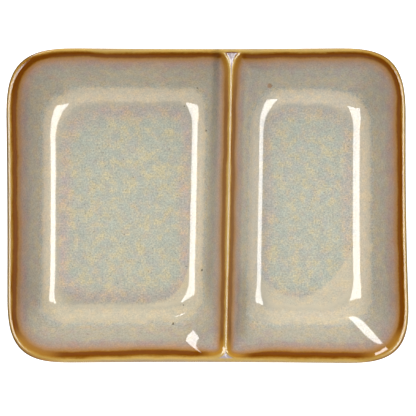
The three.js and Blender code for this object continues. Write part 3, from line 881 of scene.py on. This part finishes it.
# %% Where the glaze ran together
def pooled_colour(mix, spot):
    """The colour by the way down the wall, with a blush of lilac along the edge of the pool, and
    how calm the mottles are there."""
    shore = past_shore(spot.x, spot.y + spot.feather * 1.5) * spot.down.step(0.84, 0.95)
    band = spot.down.step(0.6, 0.66)
    pooled = mix.ramp(spot.down, 0.3, 1.3, [
        (0.3, ASH), (0.4, OLIVE), (0.54, STONE), (0.6, HAZE), (0.65, CREAM), (0.74, IVORY),
        (0.84, IVORY), (0.92, BISQUE), (1.16, BISQUE), (1.3, PALE)])
    pool_line = spot.down.step(0.92, 1.04) * (1 - spot.down.step(1.06, 1.25))
    blush = pool_line * mix.noise(BLUSH_SIZE, 3, shift=71).step(0.25, 0.65) * (1 - spot.small * 0.5)
    pooled = mix.stain_light_or_shade(blush, pooled, BLUSH)
    # Painted shade on the cove band of the near wall.
    pooled = mix.stain_light_or_shade(spot.near * band * (1 - spot.small * 0.25), pooled, NEAR_BAND_SHADE)
    pooled = mix.blend(shore, pooled, DUNE)
    pooled = mix.stain_light_or_shade(spot.small * spot.x.step(22, 16) * band, pooled, FAINT)
    inner = spot.small * (1 - spot.right)
    pooled = mix.stain_light_or_shade(inner * (0.5 + spot.far * 0.5), pooled, FRESH)
    return pooled, (band * (1 - spot.down.step(0.92, 1)) + shore) * 0.45


# %% Painted shade along the divider, in streaks
def divider_shade(mix, spot):
    """How dark the painted shade makes the wall beside the divider: a strip on the large side,
    stronger to the far end, and a short one on the small side by the near end, both broken into
    streaks."""
    x, y = spot.x, spot.y
    across = x - y * 0.03
    large = across.step(-0.6, 1.4) * (1 - across.step(1.7, 3.2)) * y.step(-36, -18)
    large = large * (0.5 + y.step(0, 30) * 0.3)
    small = x.step(8.4, 9.8) * (1 - x.step(11.5, 13.5))
    small = small * y.step(-14, -28) * (1 - y.step(-39, -43))
    streaks = mix.noise(1.4, 2, shift=61, at=mix.place * (1, 0.08, 0.3))
    return (large + small * 0.55) * (0.6 + streaks * 0.8)


# %% The recipe for the wells and the rim
def well_colour(mix):
    """Broken glaze near the brink and pooled glaze below it, with painted shade in a strip along the
    foot of the divider and on the ends, and the lands."""
    spot = Spot(mix)
    pooled, calm = pooled_colour(mix, spot)
    colour = mix.blend(spot.edge.step(4.4, 6), broken_colour(mix, spot), pooled)
    colour = mix.blend(spot.land.step(0.05, 0.2) * spot.y.step(45.5, 47), colour, IRON)
    colour = mix.blend(spot.land.step(0.4, 0.75), colour, ORCHID)
    # Painted shade in a strip along the foot of the divider.
    colour = mix.stain_light_or_shade(divider_shade(mix, spot), colour, STRIP_SHADE)
    # Painted shade on the end walls, less of it in the corners.
    ends = (spot.left + spot.right * 0.6) * (1 - spot.corner * 0.7)
    colour = mix.stain_light_or_shade(ends * spot.edge.step(1.5, 3), colour, SHADE)
    slope = spot.edge.step(1.6, 4) * (1 - spot.down.step(0.5, 0.62))
    share = spot.edge.step(1.6, 4) * 0.75 + 0.15 - calm
    colour = speckled(mix, colour)
    return mottled(mix, colour, share - slope * 0.3, share * 0.55 + slope * 0.45)


# %% The recipe for the outside and the underside
BACK_SHARE, BACK_ROSE = 0.8, 0.5
OUTSIDE = (8, 4, 1, 1, 21, [
    (1, IRON), (3, IRON), (3.8, RUST), (4.8, TAN), (6.2, MAUVE), (9, OLIVE), (13, LILAC),
    (15.5, MAUVE), (16.8, TAN), (18, RUST), (19, IRON), (19.8, IRON), (20.8, STRAW)])
UNDERSIDE = (6, 1.5, 0, 1, 6, [
    (1, RUST), (1.5, TAN), (2.2, MAUVE), (3.5, OLIVE), (6, STONE)])


def run_down(size, sway, fine, low, high, stops):
    """A recipe for the colour by height, since the glaze ran down: brown where it ran thin, lilac
    and grey between. Noise of this size sways the height, and fine noise a little."""
    def colour_of(mix):
        height = mix.add("SeparateXYZ", {}, {0: mix.place}, out="Z")
        height = height + (mix.noise(size) - 0.5) * sway + (mix.noise(0.9) - 0.5) * fine
        return mottled(mix, mix.ramp(height, low, high, stops), BACK_SHARE, BACK_ROSE)
    return colour_of


# %% Glossy glass over the clay
SHINE_ROUGHNESS, PEEL_DEPTH, GLASS_IOR = 0.035, 0.012, 1.47


def glaze(name, colour_of):
    """A hard shine over a colour, with the faint peel of a fired surface."""
    mix = Finish(name)
    peel = mix.noise(2.2, 2) * 0.6 + mix.noise(0.5, 1) * 0.1
    return mix.surface(colour_of(mix), SHINE_ROUGHNESS, peel, PEEL_DEPTH, IOR=GLASS_IOR)


well_glaze = glaze("reactive_glaze", well_colour)
for piece in (large_coat, small_coat, rim_coat):
    piece.data.materials.append(well_glaze)
outside_coat.data.materials.append(glaze("outside_glaze", run_down(*OUTSIDE)))
underside_coat.data.materials.append(glaze("underside_glaze", run_down(*UNDERSIDE)))

# %% The bare clay: buff and dry, with dark iron grains and a fine tooth
buff = Finish("bare_stoneware")
grain, iron = buff.noise(0.35, 3, 0.6), buff.noise(0.8, 1, shift=11).step(0.68, 0.74)
cloud = buff.noise(5, 3).step(0.35, 0.65)
colour = buff.blend(cloud, tint(198, 176, 148), tint(184, 158, 128))
colour = buff.blend(iron * 0.7, colour, tint(104, 76, 52))
clay_body.data.materials.append(buff.surface(colour, grain * 0.2 + 0.65, grain, 0.05))
print("materials:", ", ".join(sorted(m.name for m in bpy.data.materials)))

# %% [markdown]
# ## Floor, light and camera
# The dish was photographed from straight above on white. Two long soft panels stand left and
# right, and they make the long white lines in the coves. Nothing hangs right over the dish.

# %% The floor
SHEET_RINGS, SHEET_SPOKES, SHEET_RADIUS, SHEET_RISE = 40, 96, 3, 1.2


def floor_sheet():
    """A round sheet whose height is 0 in the middle and grows with the square of the distance
    past half its radius, so that it has no horizon."""
    r, a = np.meshgrid(shares(SHEET_RINGS)[1:],
                       np.linspace(0, 2 * np.pi, SHEET_SPOKES + 1)[:-1], indexing="ij")
    height = SHEET_RISE * ((r - 0.5).clip(0) * 2) ** 2
    r = SHEET_RADIUS * r
    grid = np.stack([r * np.cos(a), r * np.sin(a), height], axis=-1)
    at = joined([[[0, 0, 0]], grid.reshape(-1, 3)])
    numbers = 1 + np.arange(r.size).reshape(r.shape)
    quads = np.stack([numbers[:-1], numbers[1:], np.roll(numbers[1:], -1, 1),
                      np.roll(numbers[:-1], -1, 1)], axis=-1).reshape(-1, 4)
    fan = np.stack([numbers[0], np.roll(numbers[0], -1), 0 * numbers[0]], axis=-1)
    mesh = bpy.data.meshes.new("studio_floor")
    mesh.from_pydata(at.tolist(), [], quads.tolist() + fan.tolist())
    mesh.shade_smooth()
    return in_scene("studio_floor", mesh)


studio_floor = floor_sheet()
studio_floor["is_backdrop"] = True
studio_floor.visible_glossy = False
paper = Finish("white_paper")
fibre = paper.noise(3)
studio_floor.data.materials.append(paper.surface(tint(244, 244, 244), 0.9, fibre, 0.02, **{
    "Emission Color": (1, 1, 1, 1), "Emission Strength": 0.6}))


# %% The panels
def panel(name, place, size, brightness, glossy):
    """A soft rectangular light that faces the dish, its brightness in watts per square metre and
    steradian. A glossy one only shows in reflections. It goes out for light that has left a matt
    surface, so that the coves don't focus it, and in second mirrors, so that the rim stays deep."""
    light = bpy.data.lights.new(name, "AREA")
    light.shape, light.size, light.size_y = "RECTANGLE", size[0], size[1]
    light.energy = np.pi * size[0] * size[1] * brightness
    glow = Recipe(light)
    matt = glow.add("LightPath", out="Diffuse Depth").step(0, 1)
    second = glow.add("LightPath", out="Glossy Depth").step(1, 2)
    strength = (1 - matt) * (1 - second) if glossy else 1
    shine = glow.add("Emission", {}, {"Strength": strength})
    glow.add("OutputLight", {}, {"Surface": shine})
    lamp = in_scene(name, light)
    lamp.location = place
    lamp.rotation_euler = Vector(place).to_track_quat("Z", "X").to_euler()
    lamp.visible_camera, lamp.visible_diffuse, lamp.visible_glossy = False, not glossy, glossy


PANEL_GAP, PANEL_BRIGHTNESS = 1.1, 13


def long_panel(name, side, low, high, shift, length):
    """A panel that reaches between two angles from straight up, shifted along y."""
    tilt, half_wide = np.radians((low + high) / 2), np.radians((high - low) / 2)
    place = (side * PANEL_GAP * np.sin(tilt), shift, PANEL_GAP * np.cos(tilt))
    wide = 2 * PANEL_GAP * np.tan(half_wide)
    panel(name, place, (wide, length), PANEL_BRIGHTNESS, True)


long_panel("left_panel", -1, 13, 52, -0.02, 0.68)
long_panel("right_panel", 1, 20, 50, -0.12, 1.07)
panel("window_glow", (0, 1, 0.45), (0.7, 0.7), 2.8, False)
panel("window_pane", (-0.41, 1, 0.14), (0.26, 0.4), PANEL_BRIGHTNESS, True)
print("lights:", ", ".join(light.name for light in bpy.data.lights))

# %% A tent of white cloth round the dish
TENT_HEM, TENT_OPENING = (0.15, 0.45), (0.955, 0.985)
TENT_GLOW, TENT_DARK = 1.22, 0.06

# The room is lit all round from the table up to the opening for the camera, and dark below and in
# the opening. Glossy surfaces see it dark, for the brown of the rim again.
tent = bpy.data.worlds.new("tent")
cloth = Recipe(tent)
height = cloth.add("SeparateXYZ", {}, {0: cloth.add("TexCoord", out="Generated")}, out="Z")
lit = height.step(*TENT_HEM) * (1 - height.step(*TENT_OPENING))
matt = cloth.add("LightPath", out="Is Diffuse Ray")
glow = cloth.add("Background", {}, {"Strength": lit * matt * (TENT_GLOW - TENT_DARK) + TENT_DARK})
cloth.add("OutputWorld", {}, {"Surface": glow})
bpy.context.scene.world = tent

# %% The camera, straight above
RIM_TO_CAMERA, FIELD, SENSOR, OFF_X, OFF_Y = 0.76, 0.12896, 36, 0.00017, -0.00079
camera_data = bpy.data.cameras.new("camera")
camera_data.sensor_width = SENSOR
camera_data.lens = SENSOR * RIM_TO_CAMERA / FIELD
camera = in_scene("camera", camera_data)
camera.location = (OFF_X, OFF_Y, RIM_TO_CAMERA + DISH_HEIGHT * MM)
bpy.context.scene.camera = camera
bpy.context.scene.view_settings.view_transform = "Standard"
print(f"lens: {camera_data.lens:.0f} mm")

# %% Keep the sizes and finish
bpy.context.view_layer.update()
visual_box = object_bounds()
rounded = lambda box: [[round(float(v), 6) for v in corner] for corner in box]
{"cad": rounded(cad_box), "visual": rounded(visual_box)}
print("packed box:", rounded(cad_box))
print("visual box:", rounded(visual_box))
